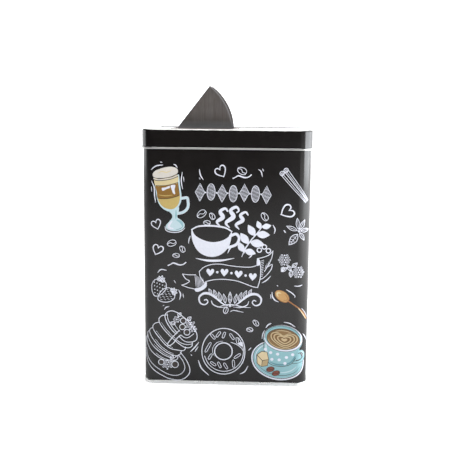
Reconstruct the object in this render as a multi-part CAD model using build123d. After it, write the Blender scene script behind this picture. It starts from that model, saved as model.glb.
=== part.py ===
"""Coffee tin with a slip-on lid and a flip-up pouring spout, in millimetres.

The tin stands on its base seam with the base at Z = 0, centred on X and Y, front face towards -Y.
Every piece is pressed from thin sheet, as a real tin is:
  body_shell   wrapped wall with a body hook at the bottom, a safety curl at the top and a lock seam behind
  base_panel   recessed bottom that is double-seamed to the body hook
  lid          drawn lid with a stepped top panel, a cut-out for the spout and a rolled hem on its skirt
  spout_frame  collar crimped round the cut-out, which carries the hinge pin and the stops
  spout_chute  flap with two quarter-round cheeks, rolled round the pin, shown open
  hinge_pin    wire pin with peened heads
"""
import os

from build123d import *

# Driving dimensions
TIN_HEIGHT = 190.0  # table to the highest line of the lid's top
BODY_WIDTH = 122.2  # outside of the body wall, along X
BODY_DEPTH = 80.0  # outside of the body wall, along Y
BODY_CORNER = 8.5  # outside corner radius of the body in plan
SHEET = 0.3  # tinplate of the body, base and lid
SEAM_GAP = 0.02  # between two layers of a folded seam
PITCH = SHEET + SEAM_GAP  # from one seam layer to the next

# Base seam and base panel
SEAM_HEIGHT = 2.5
SEAM_OUTER_BEND = 0.35  # centre-line bend radius
SEAM_INNER_BEND = 0.16
BODY_HOOK_GAP = 0.6  # from the body hook's end to the seam's top
BASE_HOOK_LENGTH = 1.5  # the base's own hook, down from the seam's top
BASE_RECESS = 3.3  # height of the base panel's middle above the table
BASE_BEAD_RISE = 0.8
BASE_BEAD_TOP = 1.6  # flat part of the bead beyond the middle panel, in plan
BASE_BEAD_SLOPE = 1.2  # width of the bead's side in plan
BASE_BEAD_BEND = 0.8
CHUCK_BEND = 0.8  # where the recessed panel turns down into the seam
BASE_FORMED = 7.0  # how far in from the wall the formed part of the base reaches
FORMED_LAP = 0.5  # overlap of a panel's formed edge and its flat middle, which are one sheet

# Top curl of the body
TOP_CURL = 1.5
TOP_CURL_BEND = 0.6
TOP_CURL_LAST_BEND = 0.55
LID_SEAT_GAP = 0.05  # between the body's top curl and the lid that rests on it

# Lock seam on the back wall
LOCK_SEAM_X = 44.0
LOCK_SEAM_WIDTH = 4.5
LOCK_SEAM_THICK = 2 * SHEET  # two extra layers, inside the wall
LOCK_SEAM_LOW, LOCK_SEAM_HIGH = 4.2, 187.0
LOCK_GROOVE = (0.3, 0.12)  # width and depth of the line that it leaves outside

# Lid
LID_WIDTH = 123.8
LID_DEPTH = BODY_DEPTH + LID_WIDTH - BODY_WIDTH
LID_CORNER = BODY_CORNER + (LID_WIDTH - BODY_WIDTH) / 2
LID_SKIRT_LOW = 175.7
LID_TOP_BEND = 1.2
LID_BAND = 5.0  # flat band between the top edge and the step
LID_STEP = 0.5  # how far the top panel lies below the band
LID_STEP_SLOPE = 1.0
LID_STEP_BEND = 0.6
LID_FORMED = 7.5  # how far in from the skirt the formed part of the lid reaches
HEM_HEIGHT = 1.4
HEM_PROUD = 0.9
HEM_BEND = 0.38
HEM_EDGE_GAP = 0.07  # from the skirt to the hem's rolled-in edge

# Spout
SPOUT_SHEET = 0.4
SPOUT_WIDTH = 36.0  # over the cheeks, along Y
SPOUT_RADIUS = 41.4  # from the pin to the curved edge
SPOUT_OPEN = 52.0  # degrees between the open flap and the lid
CHEEK_LOW_ANGLE = 53.1  # degrees from the flap to the cheek's lower edge
PIN_X, PIN_Z = -38.45, 187.75
PIN_RADIUS = 0.6
PIN_RUNNING = 0.04  # radial clearance in the chute
PIN_SEAT = 0.02  # radial clearance in the frame
PIN_HEAD = (0.95, 0.5)  # radius and thickness
PIN_HEAD_GAP = 0.05  # from each head to the frame
BARREL_INNER = PIN_RADIUS + PIN_RUNNING
BARREL_OUTER = BARREL_INNER + SPOUT_SHEET
FLAP_LENGTH = (SPOUT_RADIUS**2 - BARREL_OUTER**2) ** 0.5
HINGE_EAR = 1.6  # radius of the cheek round the pin
FLAP_BEND = 0.7  # outside bend between flap and cheek
TAB_FROM, TAB_TO = 35.3, 40.5  # stop tab along the cheek's lower edge
TAB_PROUD = 1.3

# Spout frame
FRAME_SHEET = 0.4
FRAME_SIDE_GAP = 0.5  # from cheek to frame
FRAME_END_GAP = 0.35  # from the chute's curved edge to the frame
FRAME_LOW_X = -40.8  # inner face at the hinge end
FRAME_CORNER = 1.0
FRAME_LOW_Z = 185.9  # lower edge of the collar, where the stop tabs meet it
RIM_WIDTH = 1.8
CRIMP_WIDTH = 1.2
RIM_BEND = 0.3
NOTCH_RADIUS = 5.0  # thumb notch at the free end
LEDGE = (1.3, 0.4)  # length and thickness of the rests for the closed flap
LEDGE_FROM, LEDGE_TO = 7.0, 13.0  # along Y, on both sides
LEDGE_GAP = 0.09

PANEL_TOP = TIN_HEIGHT - LID_STEP
PANEL_UNDER = PANEL_TOP - SHEET
FRAME_HIGH_X = PIN_X + SPOUT_RADIUS + FRAME_END_GAP
FRAME_HALF_WIDTH = SPOUT_WIDTH / 2 + FRAME_SIDE_GAP


def rounded(width, depth, radius, low, high, centre=(0, 0)):
    """An upright block with rounded corners in plan."""
    plan = Pos(*centre, low) * RectangleRounded(width, depth, radius)
    return extrude(plan, high - low)


def swept_sheet(points, bends, width, depth, corner, sheet=SHEET):
    """Sheet bent along points, taken round a rounded rectangle.

    Each point is (distance outside the rectangle, height), on the sheet's middle.
    """
    middle = FilletPolyline(*points, radius=bends)
    section = make_face(middle.offset_2d(sheet / 2, kind=Kind.ARC, side=Side.BOTH))
    path = RectangleRounded(width, depth, corner).wire()
    along = path % 0
    upright = Plane(origin=path @ 0, x_dir=along.cross(Vector(0, 0, 1)), z_dir=-along)
    return sweep(sections=upright * section, path=path)


def body_shell():
    """The wall, from the hook in the base seam up to the safety curl, with its lock seam."""
    wall = -SHEET / 2
    hook_low = SHEET / 2 + PITCH
    curl_top = TIN_HEIGHT - SHEET - LID_SEAT_GAP - SHEET / 2
    points = [
        (wall + 2 * PITCH, SEAM_HEIGHT - BODY_HOOK_GAP),
        (wall + 2 * PITCH, hook_low),
        (wall, hook_low),
        (wall, curl_top),
        (wall - TOP_CURL + SHEET, curl_top),
        (wall - TOP_CURL + SHEET, curl_top - TOP_CURL + SHEET),
        (wall - SHEET, curl_top - TOP_CURL + SHEET),
    ]
    bends = [SEAM_INNER_BEND, SEAM_INNER_BEND, TOP_CURL_BEND, TOP_CURL_LAST_BEND, TOP_CURL_LAST_BEND]
    shell = swept_sheet(points, bends, BODY_WIDTH, BODY_DEPTH, BODY_CORNER)
    inner_face = BODY_DEPTH / 2 - SHEET
    height = LOCK_SEAM_HIGH - LOCK_SEAM_LOW
    rib = Box(LOCK_SEAM_WIDTH, LOCK_SEAM_THICK + SHEET / 2, height)
    rib = fillet(rib.edges().filter_by(Axis.Z).group_by(Axis.Y)[0], SHEET)
    middle = (LOCK_SEAM_LOW + LOCK_SEAM_HIGH) / 2
    rib = Pos(LOCK_SEAM_X, inner_face - LOCK_SEAM_THICK / 2 + SHEET / 4, middle) * rib
    groove = Pos(LOCK_SEAM_X + LOCK_SEAM_WIDTH / 2, BODY_DEPTH / 2, middle) * Box(
        LOCK_GROOVE[0], 2 * LOCK_GROOVE[1], height
    )
    return shell + rib - groove


def base_panel():
    """The bottom: a recessed panel with a bead, and the outer part of the double seam."""
    chuck = -SHEET / 2 - PITCH
    outer = -SHEET / 2 + 3 * PITCH
    hook = -SHEET / 2 + PITCH
    low = SHEET / 2
    top = SEAM_HEIGHT - SHEET / 2
    field = BASE_RECESS + SHEET / 2
    points = [
        (-BASE_FORMED, field + BASE_BEAD_RISE),
        (-BASE_FORMED + BASE_BEAD_TOP, field + BASE_BEAD_RISE),
        (-BASE_FORMED + BASE_BEAD_TOP + BASE_BEAD_SLOPE, field),
        (chuck, field),
        (chuck, low),
        (outer, low),
        (outer, top),
        (hook, top),
        (hook, SEAM_HEIGHT - BASE_HOOK_LENGTH),
    ]
    bends = [BASE_BEAD_BEND, BASE_BEAD_BEND, CHUCK_BEND, SEAM_OUTER_BEND, SEAM_OUTER_BEND, SEAM_INNER_BEND, SEAM_INNER_BEND]
    ring = swept_sheet(points, bends, BODY_WIDTH, BODY_DEPTH, BODY_CORNER)
    inset = 2 * (BASE_FORMED - FORMED_LAP)
    under = BASE_RECESS + BASE_BEAD_RISE
    plate = rounded(
        BODY_WIDTH - inset, BODY_DEPTH - inset, BODY_CORNER - inset / 2, under, under + SHEET
    )
    return ring + plate


def spout_outline(outset):
    """The frame's inner outline in plan, moved outwards by outset, with the thumb notch at its free end."""
    low, high = FRAME_LOW_X - outset, FRAME_HIGH_X + outset
    main = Pos((low + high) / 2, 0) * RectangleRounded(
        high - low, 2 * (FRAME_HALF_WIDTH + outset), FRAME_CORNER + outset
    )
    notch = Pos(FRAME_HIGH_X - NOTCH_RADIUS / 2, 0) * Circle(NOTCH_RADIUS + outset)
    return main + notch


def collar(outset, low, high):
    """The space between the frame's inner outline and the same outline moved outwards."""
    return extrude(Pos(0, 0, low) * (spout_outline(outset) - spout_outline(0)), high - low)


def lid():
    """The lid: rolled hem, skirt, rounded top edge, flat band, step and top panel with the cut-out."""
    skirt = -SHEET / 2
    band = TIN_HEIGHT - SHEET / 2
    panel = PANEL_TOP - SHEET / 2
    hem_low = LID_SKIRT_LOW + SHEET / 2
    hem_high = LID_SKIRT_LOW + HEM_HEIGHT - SHEET / 2
    hem_out = HEM_PROUD - SHEET / 2
    points = [
        (HEM_EDGE_GAP + SHEET / 2, hem_high),
        (hem_out, hem_high),
        (hem_out, hem_low),
        (skirt, hem_low),
        (skirt, band),
        (-LID_BAND, band),
        (-LID_BAND - LID_STEP_SLOPE, panel),
        (-LID_FORMED, panel),
    ]
    bends = [HEM_BEND, HEM_BEND, HEM_BEND, LID_TOP_BEND, LID_STEP_BEND, LID_STEP_BEND]
    formed = swept_sheet(points, bends, LID_WIDTH, LID_DEPTH, LID_CORNER)
    inset = 2 * (LID_FORMED - FORMED_LAP)
    plate = rounded(
        LID_WIDTH - inset, LID_DEPTH - inset, LID_CORNER - inset / 2, PANEL_UNDER, PANEL_TOP
    )
    cut_out = extrude(Pos(0, 0, PANEL_UNDER - 1) * spout_outline(FRAME_SHEET + SEAM_GAP), SHEET + 2)
    return formed + plate - cut_out


def spout_frame():
    """The collar: rim above the lid's panel, crimp below it, walls for the pin, and rests for the flap."""
    rim = collar(FRAME_SHEET + RIM_WIDTH, PANEL_TOP, PANEL_TOP + FRAME_SHEET)
    rim = fillet(rim.faces().sort_by(Axis.Z)[-1].outer_wire().edges(), RIM_BEND)
    crimp = collar(FRAME_SHEET + CRIMP_WIDTH, PANEL_UNDER - FRAME_SHEET, PANEL_UNDER)
    wall = collar(FRAME_SHEET, FRAME_LOW_Z, PANEL_TOP + FRAME_SHEET)
    frame = rim + crimp + wall
    flap_under = PIN_Z + BARREL_INNER
    length, thick = LEDGE
    for side in (-1, 1):
        ledge = Box(length + FRAME_SHEET / 2, LEDGE_TO - LEDGE_FROM, thick)
        x = FRAME_HIGH_X - (length - FRAME_SHEET / 2) / 2
        frame += Pos(x, side * (LEDGE_FROM + LEDGE_TO) / 2, flap_under - LEDGE_GAP - thick / 2) * ledge
    bore = Rot(90, 0, 0) * Cylinder(PIN_RADIUS + PIN_SEAT, 3 * SPOUT_WIDTH)
    return frame - Pos(PIN_X, 0, PIN_Z) * bore


def cheek_plan():
    """The quarter-round outline of the closed chute's cheeks, about the pin at the origin."""
    arc_high = Vector(FLAP_LENGTH, BARREL_OUTER)
    arc_low = Vector(SPOUT_RADIUS, 0).rotate(Axis.Z, -CHEEK_LOW_ANGLE)
    arc_middle = Vector(SPOUT_RADIUS, 0).rotate(Axis.Z, -CHEEK_LOW_ANGLE / 2)
    ear_low = Vector(HINGE_EAR, 0).rotate(Axis.Z, -CHEEK_LOW_ANGLE - 90)
    corner = Vector(0, BARREL_OUTER)
    outline = [
        Line(corner, arc_high),
        ThreePointArc(arc_high, arc_middle, arc_low),
        Line(arc_low, arc_low + ear_low),
        Line(arc_low + ear_low, ear_low),
        Line(ear_low, corner),
    ]
    above = Pos(0, BARREL_OUTER + HINGE_EAR) * Rectangle(4 * HINGE_EAR, 2 * HINGE_EAR)
    return make_face(outline) + Circle(HINGE_EAR) - above


def stop_tab(side):
    """The tab bent outwards from a cheek's lower edge, which meets the collar when the spout is open."""
    length = TAB_TO - TAB_FROM
    tab = Box(length, TAB_PROUD + SPOUT_SHEET, SPOUT_SHEET)
    y = side * ((SPOUT_WIDTH + TAB_PROUD - SPOUT_SHEET) / 2)
    tab = Pos((TAB_FROM + TAB_TO) / 2, y, -HINGE_EAR + SPOUT_SHEET / 2) * tab
    return Rot(0, CHEEK_LOW_ANGLE, 0) * tab


def spout_chute():
    """Flap, rolled barrel, cheeks and stop tabs, built closed about the pin and then turned open."""
    chute = extrude(Plane.XZ * cheek_plan(), SPOUT_WIDTH / 2, both=True)
    sides = chute.faces().sort_by(Axis.Z)[-1].edges().filter_by(Axis.X)
    chute = fillet(sides, FLAP_BEND)
    reach = 2 * SPOUT_RADIUS
    hollow = Box(2 * reach, SPOUT_WIDTH - 2 * SPOUT_SHEET, reach)
    hollow = fillet(hollow.faces().sort_by(Axis.Z)[-1].edges().filter_by(Axis.X), FLAP_BEND - SPOUT_SHEET)
    chute -= Pos(0, 0, BARREL_INNER - reach / 2) * hollow
    chute += Rot(90, 0, 0) * Cylinder(BARREL_OUTER, SPOUT_WIDTH)
    for side in (-1, 1):
        chute += stop_tab(side)
    chute -= Rot(90, 0, 0) * Cylinder(BARREL_INNER, 2 * SPOUT_WIDTH)
    return Pos(PIN_X, 0, PIN_Z) * Rot(0, -SPOUT_OPEN, 0) * chute


def hinge_pin():
    """The wire pin through the frame's walls and the chute's barrel, peened at both ends."""
    head_radius, head_thick = PIN_HEAD
    seat = FRAME_HALF_WIDTH + FRAME_SHEET + PIN_HEAD_GAP
    pin = Rot(90, 0, 0) * Cylinder(PIN_RADIUS, 2 * seat + head_thick)
    for side in (-1, 1):
        head = Rot(90, 0, 0) * Cylinder(head_radius, head_thick)
        head = fillet(head.edges().sort_by(Axis.Y)[-1 if side > 0 else 0], head_thick / 2)
        pin += Pos(0, side * (seat + head_thick / 2), 0) * head
    return Pos(PIN_X, 0, PIN_Z) * pin


PIECES = {
    "body_shell": body_shell,
    "base_panel": base_panel,
    "lid": lid,
    "spout_frame": spout_frame,
    "spout_chute": spout_chute,
    "hinge_pin": hinge_pin,
}

os.makedirs("parts", exist_ok=True)
for name, build in PIECES.items():
    export_step(build(), f"parts/{name}.step")
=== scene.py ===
"""Looks of the coffee tin: lacquer, bare tinplate, stained spout steel with a painted reflection above the
lid, and chalk-style print.
"""
import copy
import itertools
import math

import bpy
from mathutils import Euler, Matrix, Vector
from mathutils.geometry import delaunay_2d_cdt

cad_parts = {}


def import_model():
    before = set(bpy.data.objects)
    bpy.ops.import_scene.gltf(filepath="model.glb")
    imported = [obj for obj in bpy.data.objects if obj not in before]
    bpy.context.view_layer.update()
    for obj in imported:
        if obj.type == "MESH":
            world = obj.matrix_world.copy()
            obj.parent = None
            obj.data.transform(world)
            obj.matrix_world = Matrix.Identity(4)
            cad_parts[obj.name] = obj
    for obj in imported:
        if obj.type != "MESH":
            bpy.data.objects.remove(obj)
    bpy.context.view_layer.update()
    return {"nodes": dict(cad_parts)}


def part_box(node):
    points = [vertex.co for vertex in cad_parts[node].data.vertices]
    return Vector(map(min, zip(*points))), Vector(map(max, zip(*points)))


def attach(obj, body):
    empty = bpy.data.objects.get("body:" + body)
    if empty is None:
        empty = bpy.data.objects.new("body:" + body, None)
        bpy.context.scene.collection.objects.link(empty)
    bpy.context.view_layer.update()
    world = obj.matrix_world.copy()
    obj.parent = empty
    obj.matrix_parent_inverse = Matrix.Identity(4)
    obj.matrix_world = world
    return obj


MM = 0.001

# Camera, in the tin's frame (metres and radians)
CAMERA_AT = (0.0262, -0.5869, 0.2071)
CAMERA_YAW = 0.0339
CAMERA_DOWN = 0.1703
CAMERA_ROLL = -0.0103
CAMERA_LENS = 58.15  # mm on a 36 mm sensor

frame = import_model()
nodes = frame["nodes"]

# Sizes of the tin that the materials and the print need, in metres
BODY_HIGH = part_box("body_shell")[1]
SEAM_HIGH = 2.5 * MM
WALL_X = BODY_HIGH.x - 0.64 * MM
WALL_Y = BODY_HIGH.y - 0.64 * MM
WALL_CORNER = 8.5 * MM
LID_LOW, LID_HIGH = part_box("lid")
HEM_PROUD = 0.9 * MM
HEM_TOP = LID_LOW.z + 1.4 * MM
LID_X = LID_HIGH.x - HEM_PROUD
LID_Y = LID_HIGH.y - HEM_PROUD
LID_CORNER = WALL_CORNER + LID_X - WALL_X
LACQUER_TOP = 183.5 * MM  # of the body's wall, where its bare upper curl starts
PANEL_LOW = LID_HIGH.z - 2 * MM  # the lid's top panel lies above this
ABOVE_ALL = 1.0
SHEET = 0.3 * MM
BEND = 1.2 * MM  # how far in the rubbed line along the lid's top edge reaches
RUB_LOW = 1.25 * MM  # its uneven lower edge lies this far above the panel's low limit
RUB_HIGH = 1.42 * MM
PIN_LOW, PIN_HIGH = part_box("hinge_pin")
PIN_AT = (PIN_LOW + PIN_HIGH) / 2
SPOUT_REACH = 41.4 * MM  # from the pin to the chute's curved edge


# Shader building

class Shader:
    """A material's nodes, built by short calls. Each call returns the new node's output."""

    def __init__(self, name):
        self.material = bpy.data.materials.new(name)
        self.material.use_nodes = True
        self.tree = self.material.node_tree
        self.surface = self.tree.nodes["Principled BSDF"]
        coordinates = self.tree.nodes.new("ShaderNodeTexCoord").outputs
        self.place = coordinates["Object"]
        self.facing = coordinates["Normal"]

    def set(self, **values):
        for name, value in values.items():
            self.plug(self.surface.inputs[name.replace("_", " ")], value)

    def plug(self, socket, value):
        if isinstance(value, bpy.types.NodeSocket):
            self.tree.links.new(value, socket)
        elif isinstance(value, (tuple, list)) and len(value) == 3 and socket.type == "RGBA":
            socket.default_value = (*value, 1)
        else:
            socket.default_value = value

    def node(self, kind, inputs, output=0, **settings):
        made = self.tree.nodes.new(kind)
        for name, value in settings.items():
            setattr(made, name, value)
        for key, value in inputs.items():
            self.plug(made.inputs[key], value)
        return made.outputs[output]

    def math(self, operation, a, b=0.0, clamp=False):
        return self.node("ShaderNodeMath", {0: a, 1: b}, operation=operation, use_clamp=clamp)

    def vector(self, operation, a, b=(0, 0, 0), output=0):
        return self.node("ShaderNodeVectorMath", {0: a, 1: b}, output, operation=operation)

    def noise(self, scale, detail=3.0, stretch=(1, 1, 1), roughness=0.5):
        at = self.vector("MULTIPLY", self.place, stretch)
        inputs = {"Vector": at, "Scale": scale, "Detail": detail, "Roughness": roughness}
        return self.node("ShaderNodeTexNoise", inputs)

    def ramp(self, factor, low, high, first=0.0, last=1.0):
        """factor from low to high becomes first to last."""
        return self.node("ShaderNodeMapRange", {0: factor, 1: low, 2: high, 3: first, 4: last})

    def spread(self, noise, first=0.0, last=1.0):
        """The middle range of a noise becomes first to last."""
        return self.ramp(noise, 0.3, 0.7, first, last)

    def part(self, vector, axis):
        return self.node("ShaderNodeSeparateXYZ", {0: vector}, "XYZ".index(axis))

    def mix(self, factor, a, b):
        """From colour a to colour b. The Mix node takes them at inputs 6 and 7, and gives output 2."""
        return self.node("ShaderNodeMix", {0: factor, 6: a, 7: b}, 2, data_type="RGBA")

    def bump(self, height, strength, distance):
        normal = self.node("ShaderNodeBump", {"Height": height, "Strength": strength, "Distance": distance})
        self.plug(self.surface.inputs["Normal"], normal)

    def outer_skin(self, half_x, half_y, corner, depth=SHEET / 2):
        """1 on the outer face of a rounded upright box's wall, 0 more than depth inside it."""
        far = 9.0
        out = self.vector("ABSOLUTE", self.place)
        out = self.vector("SUBTRACT", out, (half_x - corner, half_y - corner, far))
        out = self.vector("MAXIMUM", out)
        out = self.vector("LENGTH", out, output="Value")
        return self.math("GREATER_THAN", out, corner - depth)


def lacquer(name, half_x, half_y, corner, printed_low, printed_high, top, gloss, bright):
    """Black lacquer on the wall's outer face between two heights and on what faces up above top. It is rubbed
    through along the bend between the two. Elsewhere it is bare tinplate of a brightness."""
    s = Shader(name)
    z = s.part(s.place, "Z")
    above = s.math("GREATER_THAN", z, printed_low)
    below = s.math("LESS_THAN", z, printed_high)
    walls = s.math("MULTIPLY", s.outer_skin(half_x, half_y, corner), s.math("MULTIPLY", above, below))
    upward = s.math("GREATER_THAN", s.part(s.facing, "Z"), 0.05)
    panel = s.math("MULTIPLY", upward, s.math("GREATER_THAN", z, top))
    rubbed = s.math("GREATER_THAN", z, s.spread(s.noise(300.0), top + RUB_LOW, top + RUB_HIGH))
    bend = s.math("MULTIPLY", s.outer_skin(half_x, half_y, corner, BEND), rubbed)
    coated = s.math("SUBTRACT", s.math("MAXIMUM", walls, panel), bend, clamp=True)
    black = s.mix(s.noise(60.0), (0.0072, 0.0061, 0.0054), (0.0098, 0.0082, 0.0080))
    dull = bright - 0.03
    grain = s.noise(900.0, stretch=(1, 1, 0.06))
    tin = s.mix(grain, (dull, dull, dull - 0.015), (bright, bright, bright - 0.015))
    s.set(Base_Color=s.mix(coated, tin, black))
    s.set(Metallic=s.math("SUBTRACT", 1.0, coated))
    tin_rough = s.spread(s.noise(160.0), 0.29, 0.31)
    black_rough = s.spread(s.noise(140.0, 4.0), gloss - 0.03, gloss + 0.03)
    s.set(Roughness=s.mix(coated, tin_rough, black_rough))
    s.bump(s.noise(420.0, 2.0), 0.02, 0.02 * MM)
    return s.material


def bare_tin(name):
    s = Shader(name)
    grain = s.noise(900.0, stretch=(1, 1, 0.08))
    s.set(Base_Color=s.mix(grain, (0.88, 0.88, 0.87), (0.95, 0.95, 0.94)), Metallic=1.0)
    s.set(Roughness=s.spread(s.noise(160.0), 0.25, 0.31))
    s.bump(grain, 0.04, 0.02 * MM)
    return s.material


def spout_steel(name, rubbed=False):
    """Dull rolled steel with fine upright grain, faint stains and a slight warm cast. With rubbed set, it is
    lighter along its curved edge, and a painted reflection makes it lighter in a band just above the lid."""
    s = Shader(name)
    grain = s.noise(1200.0, 4.0, stretch=(1, 1, 0.08))
    base = s.mix(s.spread(s.noise(120.0, 5.0)), (0.315, 0.277, 0.258), (0.370, 0.332, 0.315))
    base = s.mix(s.spread(grain, 0.0, 0.55), base, (0.20, 0.178, 0.168))
    if rubbed:
        # Lighter along the chute's curved edge.
        from_pin = s.vector("MULTIPLY", s.vector("SUBTRACT", s.place, PIN_AT), (1, 0, 1))
        from_pin = s.vector("LENGTH", from_pin, output="Value")
        edge = s.ramp(from_pin, SPOUT_REACH - 1.1 * MM, SPOUT_REACH - 0.3 * MM, 0.0, 0.8)
        # Painted reflection: a lighter band just above the lid, fading out 6 mm up.
        low = s.ramp(s.part(s.place, "Z"), LID_HIGH.z + 0.5 * MM, LID_HIGH.z + 6 * MM, 1.0, 0.0)
        base = s.mix(s.math("MAXIMUM", edge, low), base, (0.66, 0.645, 0.665))
    s.set(Base_Color=base, Metallic=1.0)
    s.set(Roughness=s.spread(s.noise(260.0, 4.0), 0.36, 0.42))
    s.bump(grain, 0.12, 0.02 * MM)
    return s.material


def dress(node, material):
    """Gives a CAD node's whole surface one material."""
    for slot in nodes[node].material_slots:
        slot.material = material


dress("body_shell", lacquer(
    "body_lacquer", WALL_X, WALL_Y, WALL_CORNER, SEAM_HIGH, LACQUER_TOP, ABOVE_ALL, gloss=0.15, bright=0.97
))
dress("lid", lacquer(
    "lid_lacquer", LID_X, LID_Y, LID_CORNER, HEM_TOP, ABOVE_ALL, PANEL_LOW, gloss=0.13, bright=0.62
))
dress("base_panel", bare_tin("bare_tin"))
dress("spout_frame", spout_steel("frame_steel"))
# The chute's colour has a painted reflection just above the lid, and is lighter along its curved edge.
dress("spout_chute", spout_steel("chute_steel", rubbed=True))
dress("hinge_pin", bare_tin("pin_wire"))


# The print: closed slabs of ink, 0.05 to 0.25 mm thick, with their backs sunk in the wall.
# Its places are millimetres on the wall: u along it, 0 in the middle of the front face and growing to the
# right, and z up from the base. Each motif is drawn about its own origin and then put in its place.

INK_LIFT = 0.018  # mm outside the wall, of the lowest layer
INK_LAYER = 0.014
INK_EMBED = 0.03
THINNEST = 0.03  # half the width of the thinnest stroke
CAP_ANGLES = (0.5, 1.0, 1.45)  # where a stroke's rounded end has rings
APART = 0.001  # between shapes in one layer
LINE_PITCH = 0.8  # between samples along a line
CORNER_PITCH = 0.9  # between columns of points where a filled shape goes round a corner
HALF_X = (WALL_X - WALL_CORNER) / MM
HALF_Y = (WALL_Y - WALL_CORNER) / MM
CORNER = WALL_CORNER / MM
QUARTER = math.pi / 2 * CORNER
AROUND = 4 * (HALF_X + HALF_Y + QUARTER)


def wall_point(u, z, lift):
    """The point in metres that is lift outside the wall. u goes round the tin anticlockwise from above."""
    u = (u + HALF_X) % AROUND
    for side in range(4):
        half, other = (HALF_X, HALF_Y) if side % 2 == 0 else (HALF_Y, HALF_X)
        if u <= 2 * half:
            along, out = u - half, other + CORNER + lift
            break
        u -= 2 * half
        if u <= QUARTER:
            radius = CORNER + lift
            along = half + radius * math.sin(u / CORNER)
            out = other + radius * math.cos(u / CORNER)
            break
        u -= QUARTER
    turn = Matrix.Rotation(math.pi / 2 * side, 3, "Z")
    return turn @ Vector((along * MM, -out * MM, z * MM))


def smooth(points, closed=False):
    """A Catmull-Rom curve through points (x, z) or (x, z, width factor), sampled evenly."""
    knots = [Vector((p[0], p[1], p[2] if len(p) > 2 else 1.0)) for p in points]
    count = len(knots)
    if not closed:
        knots = [2 * knots[0] - knots[1], *knots, 2 * knots[-1] - knots[-2]]
    samples = []
    for k in range(count if closed else count - 1):
        a, b, c, d = (knots[(k + j - 1) % count] if closed else knots[k + j] for j in range(4))
        steps = max(3, math.ceil((c - b).xy.length / LINE_PITCH))
        for j in range(steps):
            t = j / steps
            curve = (2 * a - 5 * b + 4 * c - d) * t * t + (3 * b - a - 3 * c + d) * t**3
            samples.append(0.5 * (2 * b + (c - a) * t + curve))
    if not closed:
        samples.append(knots[-2])
    return samples


def oval(x, z, rx, rz, turn=0, start=0, end=360, uneven=0.0):
    """Points round an ellipse from start to end degrees, a little uneven, as drawn by hand."""
    count = max(4, round(abs(end - start) / 24))
    spin = Matrix.Rotation(math.radians(turn), 2)
    points = []
    for k in range(count + (abs(end - start) < 360)):
        angle = math.radians(start + (end - start) * k / count)
        grow = 1 + uneven * math.sin(2.3 * angle + x)
        arm = Vector((rx * math.cos(angle), rz * math.sin(angle))) * grow
        points.append(Vector((x, z)) + spin @ arm)
    return points


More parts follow.
